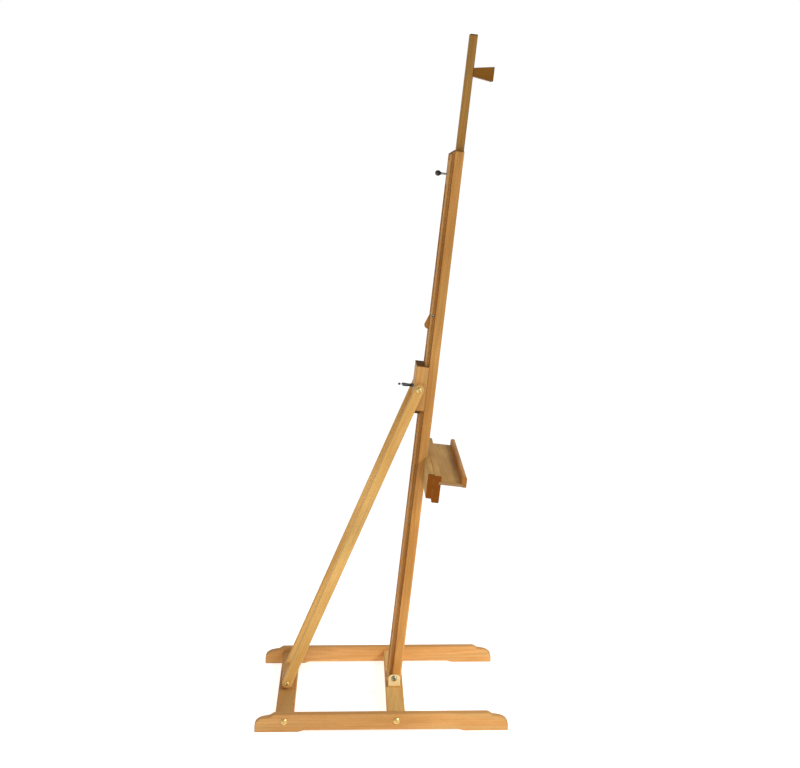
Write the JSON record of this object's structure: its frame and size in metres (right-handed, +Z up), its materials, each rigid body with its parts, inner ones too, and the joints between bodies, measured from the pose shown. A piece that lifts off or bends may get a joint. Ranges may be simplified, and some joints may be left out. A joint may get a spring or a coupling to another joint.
{
  "type": "h-frame easel",
  "caption": "Folding wooden studio easel: floor frame, tilting grooved posts with braces on a sliding block, canvas tray on a slotted rack, and a telescoping mast with a canvas clamp.",
  "frame": {"origin": "on the floor, at the middle of the base", "axes": "+X to the right seen from the front, +Y to the rear, +Z up"},
  "size_m": [0.5374, 0.55, 1.4986],
  "materials": {
    "beech": "lacquered beech, satin",
    "brass": "brass plated, satin",
    "steel": "zinc plated",
    "black_plastic": "moulded, gloss"
  },
  "bodies": {
    "base": {"left_runner": "beech", "right_runner": "beech", "front_cross_board": "beech", "rear_cross_board": "beech", "runner_bolts": "brass", "cross_dowel_nuts": "steel", "left_post_bracket": "brass", "right_post_bracket": "brass", "bracket_screws": "brass", "rear_hinge_block": "beech", "hinge_block_screws": "steel", "brace_foot_screws": "brass", "brace_foot_washers": "brass"},
    "post_frame": {"left_post": "beech", "right_post": "beech", "bottom_spacer": "beech", "top_bridge": "beech", "frame_dowels": "beech", "mast_lock_insert": "brass", "post_pivot_bolts": "brass", "lever_pin": "steel", "lever_spacers": "steel"},
    "mast": {"mast": "beech", "top_clamp": "beech", "clamp_screws": "steel"},
    "mast_knob": {"mast_knob_stem": "steel", "mast_knob_ball": "black_plastic"},
    "tray": {"tray_carrier": "beech", "tray_back_rail": "beech", "tray_front_rail": "beech", "rail_dowels": "beech", "tray_shelf": "beech", "tray_lip": "beech", "lip_brads": "steel", "carrier_screws": "steel", "rack_strip": "steel", "rack_screws": "steel"},
    "lever": {"ratchet_lever": "beech"},
    "slider": {"slider_block": "beech", "clamp_pad": "beech", "slider_insert": "brass", "brace_top_bolts": "brass", "brace_top_washers": "brass"},
    "wing_screw": {"wing_screw_stem": "steel", "wing_screw_head": "steel"},
    "left_brace": {"left_brace": "beech"},
    "right_brace": {"right_brace": "beech"}
  },
  "joints": [
    {"name": "tilt", "type": "hinge", "parent": "base", "child": "post_frame", "pos_m": [0, -0.0326, 0.0515], "axis": [-1, 0, 0], "range_deg": [-3, 17]},
    {"name": "slider_slide", "type": "slide", "parent": "post_frame", "child": "slider", "axis": [0, -0.1167, 0.9932], "range_m": [-0.0132, 0.0722]},
    {"name": "left_brace_swing", "type": "hinge", "parent": "base", "child": "left_brace", "pos_m": [-0.0625, 0.211, 0.0475], "axis": [-1, 0, 0], "range_deg": [-3.09, 17.03]},
    {"name": "right_brace_swing", "type": "hinge", "parent": "base", "child": "right_brace", "pos_m": [0.0625, 0.211, 0.0475], "axis": [-1, 0, 0], "range_deg": [-3.09, 17.03]},
    {"name": "mast_slide", "type": "slide", "parent": "post_frame", "child": "mast", "axis": [0, -0.1167, 0.9932], "range_m": [-0.15, 0.2]},
    {"name": "mast_knob_turn", "type": "hinge", "parent": "post_frame", "child": "mast_knob", "pos_m": [0, -0.15655, 1.19233], "axis": [0, 0.9932, 0.1167], "continuous": true},
    {"name": "tray_slide", "type": "slide", "parent": "post_frame", "child": "tray", "axis": [0, -0.1167, 0.9932], "range_m": [-0.15, 0.13]},
    {"name": "lever_swing", "type": "hinge", "parent": "post_frame", "child": "lever", "pos_m": [0, -0.11973, 0.8815], "axis": [1, 0, 0], "range_deg": [0, 35]},
    {"name": "wing_screw_turn", "type": "hinge", "parent": "slider", "child": "wing_screw", "pos_m": [0, -0.08574, 0.71815], "axis": [0, 0.9932, 0.1167], "continuous": true}
  ],
  "couplings": [
    {"joint": "slider_slide", "follows": "tilt", "m_per_rad": 0.24175},
    {"joint": "left_brace_swing", "follows": "tilt", "ratio": 0.996},
    {"joint": "right_brace_swing", "follows": "tilt", "ratio": 0.996}
  ]
}
